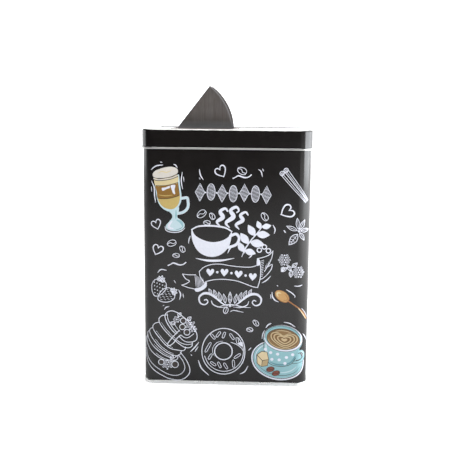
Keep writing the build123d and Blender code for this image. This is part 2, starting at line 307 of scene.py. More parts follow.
class Print:
    """One printed piece in several inks."""

    def __init__(self, name):
        self.name = name
        self.points = []
        self.faces = []
        self.face_inks = []
        self.inks = []
        self.shapes = itertools.count()
        self.at = Vector((0, 0))
        self.spin = Matrix.Identity(2)

    def sub(self, x, z, turn=0, size=1.0):
        """The same piece, drawing about (x, z) of the present motif."""
        other = copy.copy(self)
        other.at = self.at + self.spin @ Vector((x, z))
        other.spin = self.spin @ Matrix.Rotation(math.radians(turn), 2) * size
        return other

    def top_of(self, over):
        """The lift of a shape in a layer. Shapes in one layer differ a little, so none coincide."""
        return INK_LIFT + INK_LAYER * over + APART * (next(self.shapes) % 11)

    def add(self, ink, points, faces):
        if ink not in self.inks:
            self.inks.append(ink)
        first = len(self.points)
        self.points += points
        self.faces += [[first + k for k in face] for face in faces]
        self.face_inks += [self.inks.index(ink)] * len(faces)

    def line(self, ink, width, points, closed=False, over=0, taper=0.0, straight=False):
        """A stroke with rounded ends. taper is how much thinner it is at its ends."""
        if straight:
            path = [Vector((*p, 1.0)) for p in points]
        else:
            path = smooth(points, closed)
        count = len(path)
        centres = [self.at + self.spin @ p.xy for p in path]
        rings = []
        for k, centre in enumerate(centres):
            before = centres[(k - 1) % count] if closed or k else centre
            after = centres[(k + 1) % count] if closed or k < count - 1 else centre
            from_middle = abs(2 * k / (count - 1) - 1)
            half = width / 2 * path[k].z * (1 - taper * from_middle**2)
            rings.append((centre, (after - before).normalized(), max(half, THINNEST)))
        if not closed:
            rings = [*end_cap(rings[0], -1), *rings, *end_cap(rings[-1], 1)]
        top = self.top_of(over)
        corners = []
        for centre, along, half in rings:
            side = Vector((-along.y, along.x)) * half
            for way, lift in ((1, top), (-1, top), (-1, -INK_EMBED), (1, -INK_EMBED)):
                corners.append(wall_point(*(centre + way * side), lift))
        total = len(rings)
        faces = []
        for k in range(total if closed else total - 1):
            a, b = 4 * k, 4 * ((k + 1) % total)
            faces += [(a + j, a + (j + 1) % 4, b + (j + 1) % 4, b + j) for j in range(4)]
        if not closed:
            last = 4 * (total - 1)
            faces += [(3, 2, 1, 0), (last, last + 1, last + 2, last + 3)]
        self.add(ink, corners, faces)

    def chalk(self, *rows, **how):
        """Strokes of chalk. Each row is a width and then its points."""
        for width, *points in rows:
            self.line("chalk", width, points, **how)

    def ring(self, width, *shape, ink="chalk", over=0, uneven=0.0):
        """A closed stroke round an oval."""
        self.line(ink, width, oval(*shape, uneven=uneven), closed=True, over=over)

    def fill(self, ink, outline, over=0, straight=False):
        """A filled shape inside an outline."""
        if not straight:
            outline = [p.xy for p in smooth(outline, True)]
        loop = [self.at + self.spin @ Vector(p) for p in outline]
        spots = [*loop]
        edges = [(k, (k + 1) % len(loop)) for k in range(len(loop))]
        low = min(p.y for p in loop) - 1
        high = max(p.y for p in loop) + 1
        for u in corner_columns(min(p.x for p in loop), max(p.x for p in loop)):
            edges.append((len(spots), len(spots) + 1))
            spots += [Vector((u, low)), Vector((u, high))]
        flat, _, triangles, *_ = delaunay_2d_cdt(spots, edges, [], 0, 1e-5)
        kept = [t for t in triangles if inside(sum((flat[k] for k in t), Vector((0, 0))) / 3, loop)]
        used = sorted({k for t in kept for k in t})
        number = {k: j for j, k in enumerate(used)}
        top = self.top_of(over)
        count = len(used)
        points = [wall_point(*flat[k], lift) for lift in (top, -INK_EMBED) for k in used]
        sides = {(t[j], t[(j + 1) % 3]) for t in kept for j in range(3)}
        rims = [(a, b) for a, b in sides if (b, a) not in sides]
        kept = [[number[k] for k in t] for t in kept]
        faces = kept + [[k + count for k in reversed(t)] for t in kept]
        for a, b in sorted(rims):
            faces.append((number[b], number[a], number[a] + count, number[b] + count))
        self.add(ink, points, faces)

    def done(self):
        """Makes the piece's object, which rides with the tin's body."""
        mesh = bpy.data.meshes.new(self.name)
        mesh.from_pydata(self.points, [], self.faces)
        mesh.polygons.foreach_set("material_index", self.face_inks)
        mesh.shade_smooth()
        mesh.set_sharp_from_angle(angle=math.radians(40))
        for ink in self.inks:
            mesh.materials.append(INKS[ink])
        piece = new_object(self.name, mesh)
        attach(piece, "body")


def new_object(name, data):
    made = bpy.data.objects.new(name, data)
    bpy.context.scene.collection.objects.link(made)
    return made


def end_cap(ring, way):
    """Narrowing rings that round off a stroke, in drawing order. way is -1 at its start, 1 at its end."""
    centre, along, half = ring
    cap = [(centre + along * way * half * math.sin(a), along, half * math.cos(a)) for a in CAP_ANGLES]
    return cap[::way]


def corner_columns(left, right):
    """Places along the wall, between left and right, where a filled shape needs columns of points to bend."""
    columns = []
    start = HALF_X - AROUND
    steps = round(QUARTER / CORNER_PITCH)
    for half in (HALF_Y, HALF_X) * 6:
        columns += [start + QUARTER * k / steps for k in range(steps + 1)]
        start += QUARTER + 2 * half
    return [u for u in columns if left < u < right]


def inside(point, loop):
    """Whether a point lies inside a loop, counted even and odd."""
    crossings = 0
    for a, b in zip(loop, [*loop[1:], loop[0]]):
        if (a.y > point.y) != (b.y > point.y):
            crossings += point.x < a.x + (b.x - a.x) * (point.y - a.y) / (b.y - a.y)
    return crossings % 2 == 1


# Inks

def ink(name, screen_colour):
    """Opaque printing ink: a little uneven in colour, as screened ink is, under a satin varnish."""
    s = Shader("ink_" + name)
    colour = [((c / 255 + 0.055) / 1.055) ** 2.4 for c in screen_colour]
    darker = [0.9 * c for c in colour]
    s.set(Base_Color=s.mix(s.spread(s.noise(700.0, 4.0, roughness=0.7)), colour, darker))
    s.set(Roughness=s.spread(s.noise(300.0), 0.32, 0.44))
    return s.material


# Screen colours, 0 to 255
INK_COLOURS = {
    "chalk": (222, 223, 233),
    "foam": (212, 205, 196),
    "latte": (213, 196, 151),
    "brown": (138, 100, 41),
    "gold": (191, 166, 99),
    "aqua": (142, 184, 190),
    "pale_aqua": (190, 211, 217),
    "deep_aqua": (94, 142, 150),
    "coffee": (134, 102, 64),
    "crema": (194, 171, 130),
    "roast": (104, 76, 44),
    "dark": (50, 42, 37),
    "bean": (130, 70, 54),
    "sugar": (217, 198, 158),
    "sugar_shade": (183, 160, 118),
    "wood": (191, 148, 93),
    "wood_shade": (150, 101, 57),
}
INKS = {name: ink(name, colour) for name, colour in INK_COLOURS.items()}


# Motifs, each about its own origin

def heart(p, width):
    p.chalk(
        (width, (0.4, -5, 0.7), (-3.2, -1.8), (-5, 1.4, 1.2), (-3.9, 4.2), (-1.5, 4.3), (0.1, 2, 0.7)),
        (width, (-0.1, 2.2, 0.6), (1.7, 4.8), (4.2, 4.7, 1.2), (5.2, 1.8, 1.1), (3.1, -1.9),
         (0, -5.2, 0.8)),
    )


def solid_heart(p):
    p.fill("chalk", [
        (0, -5.2), (-0.8, -4.4), (-3.6, -1.4), (-5, 1.6), (-3.8, 4.4), (-1.4, 4.2), (0, 2.2), (1.6, 4.5),
        (4.1, 4.5), (5.1, 1.8), (3.4, -1.6), (0.8, -4.4),
    ])


def bean(p, long, wide):
    p.ring(0.42, 0, 0, long, wide, uneven=0.06)
    p.chalk((0.42, (-long, 0), (-long * 0.3, wide * 0.28), (long * 0.3, -wide * 0.28), (long, 0)), over=1)


def swash(p, length):
    p.chalk((1, *((length * a, *rest) for a, *rest in (
        (-0.5, -1.1, 0.9), (-0.36, -0.3, 0.7), (-0.2, 0.7), (0.125, -0.7), (0.36, -0.3, 0.7), (0.5, 1.1, 0.9),
    ))))


def mark(p, length, bend, width):
    """A short accent stroke along +X."""
    p.chalk((width, (-length / 2, 0), (0, bend), (length / 2, 0)), taper=0.7)


def glass(p):
    """A handled glass of layered coffee with foam on top."""
    handle = [
        (8.6, 0.1), (11.4, 0.6), (13.8, 0.7), (14.4, -2.6), (14.4, -5.4), (13, -8.1), (10.2, -10),
        (6.8, -10.7),
    ]
    p.line("chalk", 2, handle)
    p.line("pale_aqua", 1.6, handle, over=1)
    p.fill("pale_aqua", [
        (2.8, -12), (2.5, -14.4), (0.4, -17), (-1.7, -19.6), (-1.5, -22), (1, -23.3), (5.4, -23.7),
        (9.4, -22.8), (11.7, -20.4), (11.5, -17.8), (9, -15.3), (6.7, -13.8), (6.8, -11.4), (7.6, -9),
        (7.6, -6), (4, -5), (-1, -5), (-2.6, -7.2), (0.6, -9.4),
    ])
    p.chalk((1.7, (2.6, -16.6, 0.4), (0.6, -19.2), (0.4, -21.2), (3.4, -21.9, 0.5)), over=1)
    p.line("aqua", 1.9, [(6.4, -15.6, 0.5), (9.2, -17.2), (10.2, -19.4, 0.6)], over=1)
    p.line("aqua", 1.3, [(5.6, -8.6, 0.5), (5.6, -12), (5.4, -14.6, 0.5)], over=1)
    p.line("deep_aqua", 0.5, [(5.6, -22.7), (9, -21.7), (10.8, -19.6)], over=2, taper=0.5)
    p.chalk(
        (0.59, (-2.4, -20.6, 0.6), (-1.8, -23.1), (1, -24.4), (5.4, -24.7), (9.4, -23.7), (12, -21.4, 0.6)),
    )
    left_side = [(-9.7, 14), (-8.7, 7.6), (-7.7, 1), (-6.3, -3.6), (-3.4, -7), (0, -8.8)]
    right_side = [(7.3, 17), (8.1, 9.4), (9, 2.4), (8.7, -2), (6.8, -5.8), (3.6, -7.8)]
    p.line("pale_aqua", 1.2, left_side, over=1)
    p.line("pale_aqua", 1.2, right_side, over=1)
    p.fill("gold", [
        (-7.3, 0.2), (-6, -3.7), (-3, -6.5), (1, -7.7), (4.4, -7.1), (7.1, -4.3), (8.3, -0.6), (8.1, 2.8),
        (3, 1.2), (-2, 0.2),
    ], over=2)
    p.fill("brown", [
        (-9, 9.4), (-8.2, 4.6), (-7.4, 0), (-2, -0.2), (3.4, 0.7), (8.1, 2.5), (7.5, 7), (6.9, 11.8),
        (3.6, 10.8), (-2.4, 9.6),
    ], over=3)
    p.fill("latte", [
        (-10, 14.6), (-9, 9.3), (-2.4, 9.5), (3.6, 10.7), (6.9, 11.7), (7, 17.2), (2.6, 15.6), (-2.6, 14.6),
        (-7, 14),
    ], over=4)
    p.fill("foam", [
        (-11.2, 17.5), (-10.6, 15.6), (-8, 14.8), (-3, 15), (2, 16), (6, 17.8), (7.1, 20), (6, 22),
        (2.6, 23), (-1.6, 22.7), (-6, 21.4), (-9.6, 19.8),
    ], over=5)
    p.line("dark", 0.4, [(-10.8, 15.3), (-8, 14.6), (-3, 14.8), (2, 15.8), (6.4, 17.8)], over=6)
    p.line("foam", 0.8, [(-10.4, 14.3), (-7.6, 13.6), (-2.6, 14), (2.6, 15), (7, 16.9)], over=6)
    p.line("dark", 0.5, [(-10.2, 13.6), (-7.6, 12.9), (-2.6, 13.3), (2.6, 14.3), (7, 16.1)], over=7)
    p.line("dark", 0.4, [(-9, 9.3), (-2.4, 9.4), (3.6, 10.7), (6.9, 11.8)], over=6)
    p.line("dark", 0.45, [(-7.4, 0.2), (-2, -0.1), (3.4, 0.8), (8.1, 2.7)], over=6)
    p.line("latte", 0.8, [(-7, 18.4), (-4.6, 19.6), (-1, 19), (2.2, 20.4)], over=6, taper=0.6)
    p.fill("chalk", [
        (-4.6, 7.6), (-2, 8.1), (1, 9.2), (1.1, 7.7), (-1.6, 6.7), (-3.4, 5.6), (-4.4, 6),
    ], over=6)
    p.fill("chalk", [(1.9, 9.6), (5.1, 9.8), (4.6, 6.6), (5, 3.4), (3.5, 4), (2.4, 7)], over=6)
    p.line("gold", 0.7, [(-7, 2.6), (-2, 2), (3, 2.6)], over=6, taper=0.6)


def cup(p):
    """A dotted cup of coffee on a saucer, with a sugar lump and two beans."""
    p.fill("chalk", oval(-0.4, -0.2, 20.2, 15.3, -12))
    p.ring(0.5, -0.3, 0, 19, 14.2, -12, ink="dark", over=1)
    p.fill("aqua", oval(-0.3, 0.1, 18.7, 13.9, -12), over=2)
    p.line("chalk", 0.5, oval(-0.2, 0.4, 17.2, 12.6, -12, 110, 210), over=3, taper=0.6)
    p.line("dark", 0.4, oval(-0.2, 0.6, 17.4, 12.4, -12, 215, 350), over=3, taper=0.6)
    p.line("pale_aqua", 0.9, oval(-0.2, 1.2, 15, 10.8, -12, 275, 345), over=3, taper=0.7)
    handle = [(14.4, 6.6), (17.4, 7), (19.2, 4.6), (18.6, 1.2), (15.6, -0.8), (11, -1.6)]
    p.line("dark", 2.3, handle, over=3)
    p.line("aqua", 1.6, handle, over=4)
    p.line("pale_aqua", 0.6, [(16.6, 7.1), (18.5, 6), (19, 3.6)], over=5, taper=0.5)
    p.line("dark", 0.35, [(14.2, 5.4), (16.6, 5.5), (17.6, 3.4), (16.4, 1), (12.8, -0.1)], over=5)
    p.fill("aqua", [
        (-9.6, 18), (-10.6, 13), (-10.8, 9.4), (-10.1, 5), (-8.6, 0), (-6.6, -2.7), (-2, -4.4), (4, -4.6),
        (9.2, -2.7), (12.6, 1.8), (15.2, 8.6), (15.6, 15),
    ], over=6)
    p.line("deep_aqua", 1.2, [
        (-6.4, -1.6, 0.4), (-1.6, -3.4), (4, -3.5), (8.8, -1.8), (12, 2.4), (14.4, 8, 0.6),
    ], over=7)
    p.line("dark", 0.4, [
        (-10.8, 16), (-11.2, 11), (-10.6, 6), (-9, 0.4), (-6.6, -2.8), (-2, -4.6), (4, -4.8), (9.4, -2.8),
        (12.6, 1.6),
    ], over=8)
    p.line("pale_aqua", 1.6, [(-9.4, 13, 0.6), (-9.6, 9), (-8.6, 5.6, 0.6)], over=7)
    for x, z in (
        (-10, 8.2), (-6, 5.7), (-0.8, 4.6), (-5, 0.5), (0.4, 0.2), (5.8, 2.2), (4.8, -2.5), (10.4, 4.4),
    ):
        p.fill("chalk", oval(x, z, 1.2, 1.1), over=8)
    p.ring(0.4, 3.1, 16.9, 14.6, 10.1, -9, ink="dark", over=9)
    p.fill("chalk", oval(3.1, 16.9, 14.5, 10, -9), over=9)
    p.fill("aqua", oval(2.8, 17.5, 13.6, 9, -9), over=10)
    p.line("dark", 0.4, oval(2.8, 17.5, 13.6, 9, -9, 20, 195), over=11)
    p.line("deep_aqua", 0.5, oval(3, 17.3, 12.8, 8.4, -9, 30, 160), over=11)
    p.fill("coffee", oval(3.2, 16.3, 12.3, 7.9, -9), over=11)
    p.ring(0.4, 3.2, 16.3, 12.3, 7.9, -9, ink="dark", over=12)
    for grow, colour, width in (
        (1.2, "roast", 0.6), (1.08, "crema", 0.85), (0.96, "roast", 0.6), (0.84, "crema", 0.9),
        (0.69, "roast", 0.55), (0.54, "crema", 0.85), (0.38, "roast", 0.5),
    ):
        p.line(colour, width, latte_heart(3.9, 15.9, grow), closed=True, over=13)
    p.fill("crema", latte_heart(3.9, 15.8, 0.25), over=13)
    p.line("roast", 0.8, oval(3.2, 16.4, 11.4, 7, -9, 50, 190), over=13, taper=0.6)
    p.line("crema", 0.6, oval(3.2, 16.6, 10.4, 6.1, -9, 55, 150), over=13, taper=0.6)
    p.line("crema", 0.6, oval(3.2, 16.2, 11.5, 7.1, -9, 195, 330), over=13, taper=0.6)
    sugar_lump(p)
    for x, z, turn in ((-6, -7.3, 15), (-1.8, -10.3, 20)):
        roasted = p.sub(x, z, turn)
        roasted.fill("dark", oval(0, 0, 3.2, 2.1), over=6)
        roasted.fill("bean", oval(0, 0, 2.8, 1.7), over=7)
        roasted.line("dark", 0.45, [(-2.7, 0), (-0.8, 0.6), (0.8, -0.5), (2.7, 0)], over=8)


def latte_heart(x, z, grow):
    """A heart of milk, seen in the same perspective as the cup's rim."""
    shape = [
        (0.4, -5.4), (-4.6, -3.6), (-8.6, -0.2), (-8.6, 3.2), (-5, 4.6), (-0.6, 2.6), (3.2, 4.4),
        (7.6, 3.8), (8.8, 0.4), (5.2, -3.4),
    ]
    return [(x + grow * a, z + grow * (b - 0.1 * a)) for a, b in shape]


def sugar_lump(p):
    for colour, *face in (
        ("sugar", (-16.3, 3.8), (-12.6, 6.6), (-8.6, 6), (-7.4, 0.4), (-12.1, -0.6)),
        ("sugar", (-16.3, 3.8), (-12.1, -0.6), (-12.6, -5.4), (-16, -2.7)),
        ("sugar_shade", (-12.1, -0.6), (-7.4, 0.4), (-8.2, -4.4), (-12.6, -5.4)),
    ):
        p.fill(colour, face, over=9, straight=True)
        p.line("dark", 0.5, [*face, face[0]], over=10, straight=True)


def spoon(p):
    """A wooden spoon with a thin neck and a grip that goes round the corner of the tin."""
    p.line("wood_shade", 1, [(-4.8, 6.2), (-0.4, 3.2), (4.6, -0.2)])
    p.line("wood_shade", 1.7, [(4.2, 0.2, 0.5), (7.6, -3.8), (11.2, -8.4, 0.8)])
    p.line("sugar", 0.6, [(4, -0.2), (7, -3.8), (10.4, -8.4)], over=1, taper=0.4)
    p.chalk((0.42, (6.4, -0.2), (9.4, -3.6), (12.2, -7.4)), over=1, taper=0.4)
    bowl = p.sub(-8.3, 8.9, -38)
    bowl.fill("wood_shade", oval(0, 0, 5.9, 3.9, uneven=0.03))
    bowl.fill("wood", oval(-0.2, 0.1, 5.4, 3.4, uneven=0.03), over=1)
    bowl.line("latte", 1.3, oval(-1, -0.4, 3.2, 1.6, 0, 110, 250), over=2, taper=0.6)
    bowl.line("wood_shade", 0.5, oval(0.4, 0.2, 4, 2.2, 0, -60, 90), over=2, taper=0.6)


def donut(p):
    p.ring(0.64, 0, 0, 16, 17.9, uneven=0.012)
    p.line("chalk", 0.51, oval(0.2, 0.4, 14.5, 16.2, 0, 195, 400, uneven=0.02))
    p.chalk((0.51, (5.6, 7.2), (9.8, 5.6), (13, 3.2), (14.8, 0.8)))
    p.fill("chalk", [(10.8, 6), (12.2, 7.4), (14.2, 7.2), (14, 4.2), (12.2, 5)])
    p.ring(0.81, 0, 0.1, 6.5, 6.6, uneven=0.02)
    p.line("chalk", 0.42, oval(-0.5, 0.6, 7.7, 7.4, 0, 90, 215), taper=0.4)
    sprinkle = ((-1, 0), (-0.7, 0.75), (0.7, 0.75), (1, 0), (0.7, -0.75), (-0.7, -0.75))
    for x, z, angle, half in (
        (-8, 11.4, -50, 2.4), (-3.9, 13.1, 55, 2.5), (0.2, 12.7, 70, 2.4), (6.2, 11.6, -55, 2.6),
        (10.3, 8.6, -78, 2.4), (-11.5, 3, 62, 4.3), (-9.9, -4.2, 60, 2.4), (-7.6, -9.8, -35, 2.4),
        (-3, -10.6, -65, 2.4), (1.7, -11.3, -60, 2.6), (7.6, -9.4, -86, 2.9), (10.4, -3.4, 35, 2.9),
    ):
        p.sub(x, z, angle).chalk((0.42, *((half * a, b) for a, b in sprinkle)), closed=True, over=1)


def pancakes(p):
    """A leaning stack of pancakes on a plate, with syrup and berries."""
    p.chalk(
        (0.55, (-19.8, 16), (-20.4, 7), (-18.4, -2), (-13, -8.8), (-6.4, -13.4), (0.4, -16.2), (7.6, -16.6),
         (12.8, -13.4), (14.6, -8.8), (12.4, -2), (7.4, 5)),
        (0.47, (-19.4, 7), (-17.4, 0.4), (-13, -5), (-7, -9.6), (-1, -12.6), (4.4, -13.2), (8.8, -11.2),
         (10.8, -7), (9.4, -2), (6, 3)),
    )
    for layer in (
        [(-2.6, 33.6), (-6.2, 33), (-8.4, 30.6), (-7.8, 27), (-4.6, 22.2), (-0.6, 17.8), (3, 14.4),
         (6.6, 11.4), (10.4, 9), (14, 8.6), (16.2, 10.2), (16.4, 13)],
        [(-8.2, 28), (-11.8, 26.8), (-13.2, 24), (-11.6, 20.4), (-7.6, 15), (-3.6, 10.4), (0.4, 7.6),
         (5.4, 6.6), (9.4, 6.2), (11, 7.4), (11.2, 9.2)],
        [(-13.2, 23.8), (-15.6, 22), (-15.4, 19), (-12.4, 14), (-8.4, 9), (-3.6, 5.2), (1, 3), (4.8, 2.2),
         (7.4, 3.6), (8.2, 6)],
        [(-15.6, 21.8), (-17.8, 19), (-16.8, 15), (-13.4, 10), (-9.4, 6), (-5, 2.8), (-0.4, 0.8),
         (2.6, 0.4), (4.6, 2)],
        [(-18, 17.6), (-18.6, 13), (-16, 7.6), (-12.2, 3.4), (-7.6, 0), (-2.6, -1.8), (2.4, -1.8),
         (5.2, -0.2), (5.6, 2.2)],
    ):
        p.line("chalk", 0.55, layer)
        p.line("chalk", 0.38, [(x + 1.2, z + 0.7) for x, z in layer[3:7]], taper=0.5)
    p.chalk(
        (0.59, (16.4, 13.2), (19, 14.4), (20, 17), (19.4, 20.4), (17.6, 23.6), (14, 28.4), (10, 32),
         (5.4, 35.4), (1, 36.8), (-2.4, 35.6), (-4, 32.6), (-2.4, 27.4), (1, 22.2), (4.2, 19)),
        (0.51, (-2.2, 34.4), (-1.6, 30), (1.2, 24.8), (5.2, 19.8)),
    )
    p.chalk((0.38, (2.8, 27.2), (5, 23.6), (7.2, 20.8)), taper=0.5)
    p.chalk(
        (0.55, (16.4, 13.2), (12.6, 13), (9.4, 14.4), (6.8, 17)),
        (0.51, (8, 18.2), (10.8, 16.4), (13.6, 16.6), (17.4, 19.4)),
        (0.47, (4, 14.8), (8, 12.2), (12.4, 11), (16, 11.6)),
        (0.64, (6.8, 22), (3.6, 18.8), (-0.2, 14.2), (-2.2, 11), (-0.8, 9.9), (2.2, 12), (5, 15.8),
         (7.4, 18.2)),
    )
    for x, z, radius in ((4.8, 30.2, 3), (14.6, 26.4, 3.6), (17.2, 23.2, 2.2), (-2.4, -4.8, 3.6)):
        berry(p, x, z, radius)
    for x, z, radius in (
        (9.6, 29.4, 2.1), (9, 24.6, 2.1), (12.4, 20.6, 2.2), (-6.9, -3, 2.1), (3.4, -4.6, 2.5),
    ):
        p.fill("dark", oval(x, z, radius, radius), over=2)
        p.ring(0.51, x, z, radius, radius, over=3)
    for x, z, turn in ((13, 29.8, 48), (3.6, 26.8, 160), (6, 32.4, 60), (0.2, -0.8, 60)):
        leaf(p, x, z, turn, 3.6, 1.3)


def leaf(p, x, z, turn, length, half, veins=0, solid=False, width=0.5):
    """A pointed leaf that starts at (x, z) and points along turn."""
    p = p.sub(x, z, turn)

    def put(a, b):
        return a * length, b * half

    upper = [put(0, 0), put(0.22, 0.7), put(0.5, 1), put(0.8, 0.55), put(1, 0)]
    lower = [put(1, 0), put(0.8, -0.5), put(0.5, -0.95), put(0.22, -0.7), put(0, 0)]
    if solid:
        p.fill("chalk", [*(v.xy for v in smooth(upper)), *(v.xy for v in smooth(lower)[1:-1])], straight=True)
        return
    p.chalk((width, *upper), (width, *lower))
    p.chalk((width * 0.8, put(0, 0), put(0.45, 0.08), put(0.85, 0)), over=1, taper=0.5)
    for k in range(veins):
        a = 0.25 + 0.45 * k / max(1, veins - 1)
        p.chalk(
            (width * 0.7, put(a, 0), put(a + 0.09, 0.38), put(a + 0.15, 0.62)),
            (width * 0.7, put(a, 0), put(a + 0.09, -0.38), put(a + 0.15, -0.6)),
            over=1, taper=0.5,
        )


def cinnamon(p):
    """Two rolled sticks side by side along +X, that meet at their far end."""
    for near, middle, far, width in (
        (3.1, 2.5, 1.6, 0.42), (1.5, 1.3, 0.9, 0.32), (0.3, 0.4, 0.3, 0.5), (-1.7, -1.2, -0.6, 0.36),
        (-3.1, -2.4, -1.3, 0.42),
    ):
        p.chalk((width, (0.4, near), (13, middle), (27, far)))
    for z in (1.8, -1.8):
        p.ring(0.5, -0.4, z, 1.44, 1.6)
        p.ring(0.4, -0.2, z, 0.56, 0.72, over=1)


def flower(p):
    """A star of pointed petals with one large leaf."""
    for turn, length in ((98, 8.4), (62, 8.2), (158, 8.4), (8, 7.6), (-58, 6.6)):
        leaf(p.sub(0, 0, turn), 1.2, 0, 0, length, 1.4, width=0.42)
    leaf(p, -0.8, -2.2, -128, 10, 2.6, veins=3)
    p.fill("chalk", oval(0, 0, 0.8, 0.8), over=2)


def berry(p, x, z, radius):
    """A bramble berry: a heap of small round drupelets."""
    for row in range(-3, 4):
        for column in range(-3, 4):
            a = 1.9 * (column + 0.5 * (row % 2))
            b = 1.7 * row
            if math.hypot(a, b) < radius:
                if (row * 3 + column) % 3:
                    p.ring(0.31, x + a, z + b, 0.62, 0.62)
                else:
                    p.fill("chalk", oval(x + a, z + b, 0.62, 0.62))


def strawberry(p, hatch):
    """A strawberry pointing down, with its leaves on top."""
    p.chalk(
        (0.51, (0, -8.2), (-3.8, -5), (-5.8, 0.2), (-4.6, 4.6), (-1.8, 5.6), (0, 4.8), (2.2, 5.8),
         (4.8, 4.6), (5.9, 0.2), (4, -5)),
        closed=True,
    )
    for k in range(5):
        leaf(p, -0.2, 5, 22 + 34 * k, 4.8 - 0.6 * abs(k - 2), 1.1, width=0.45)
    for row in range(4):
        for column in range(-2, 3):
            a = 2.3 * column + (1.1 if row % 2 else 0)
            b = 2.4 - 2.7 * row
            if abs(a) < 4.8 - row:
                if hatch:
                    p.chalk((0.32, (a - 0.7, b - 0.7), (a + 0.8, b + 0.6)), taper=0.4)
                else:
                    p.fill("chalk", oval(a, b, 0.36, 0.5))


def hatched_row(p):
    """A row of hatched lozenges and ovals."""
    for k in range(7):
        one = p.sub(8 * (k - 3), 0.5 * math.sin(1.9 * k))
        is_oval = k % 2
        if is_oval:
            one.ring(0.42, 0, 0, 2.9, 5.9)
        else:
            one.chalk((0.42, (0, -6.4), (3.4, 0), (0, 6.4), (-3.4, 0), (0, -6.4)), straight=True)
        for row in range(-5, 6):
            b = 0.98 * row
            if is_oval:
                half = 2.7 * math.sqrt(1 - (b / 5.9) ** 2)
            else:
                half = 3.2 * (1 - abs(b) / 6.4)
            slope = 0.2 * half
            one.chalk((0.32, (-half, b - slope), (half, b + slope)), straight=True, over=1)
    for k in range(6):
        p.fill("chalk", oval(-20 + 8 * k, 0, 0.55, 0.55))


def steaming_cup(p):
    """A broad cup with curling steam and a sprig of leaves and cherries."""
    p.fill("chalk", [
        (-25, 7.5), (-24.6, 0), (-21, -7.5), (-15, -11.6), (-8, -12.2), (-1.5, -9), (2.8, -2.8), (4.2, 6.5),
        (1.6, 2.4), (-4, -0.6), (-11, -1.4), (-18, 0.6), (-22.6, 3.6),
    ])
    p.chalk((1.3, (-25, 7.6), (-20, 10), (-10.4, 10.6), (-1, 9.4), (4.2, 6.6)), over=1, taper=0.35)
    p.chalk((2, (3.2, 3.4), (7.4, 4.8), (9.6, 1.6), (7.4, -3), (1.6, -5.2)), over=1)
    p.chalk((1.6, (-22, -13.6, 0.4), (-14, -15.1), (-4, -15), (6, -13.2, 0.5)), taper=0.5)
    p.chalk(
        (2.2, (-4.6, 10.6, 0.3), (-6.6, 13.6, 0.9), (-2.4, 17, 1.4), (-4.4, 21, 1.1), (-0.8, 23.4, 0.8),
         (1, 21.6, 0.6)),
        (2.2, (2.4, 9.4, 0.3), (0, 13, 1), (5.2, 17.4, 1.5), (3.2, 22, 1.1), (7.2, 24.6, 0.9),
         (9.2, 22.2, 0.6), (7.8, 20.6, 0.5)),
        (2.2, (9.4, 8.4, 0.3), (7.2, 11.6, 0.9), (12, 15, 1.3), (10.4, 18.6, 1), (14, 21, 0.7),
         (15.8, 19, 0.5)),
    )
    p.chalk((0.85, (11.6, -12, 0.5), (14.4, -5.6), (18.4, 0.6), (23, 6), (26.8, 11.4, 0.5)))
    for x, z, turn, length, half in (
        (13, -8.4, 118, 8.4, 2.4), (16.4, -2.4, 126, 10, 2.8), (21, 3.6, 122, 9.6, 2.7),
        (25, 8.8, 112, 6.4, 2), (13.6, -7.2, -16, 8.6, 2.5), (17.4, -1, -10, 11, 3), (22, 4.8, -2, 10, 2.8),
        (26, 10, 12, 7, 2.1),
    ):
        leaf(p, x, z, turn, length, half, solid=True)
    for x, z in ((24.4, -6.8), (28, -4.4), (31, -7.2)):
        p.ring(0.77, x, z, 1.6, 1.6)


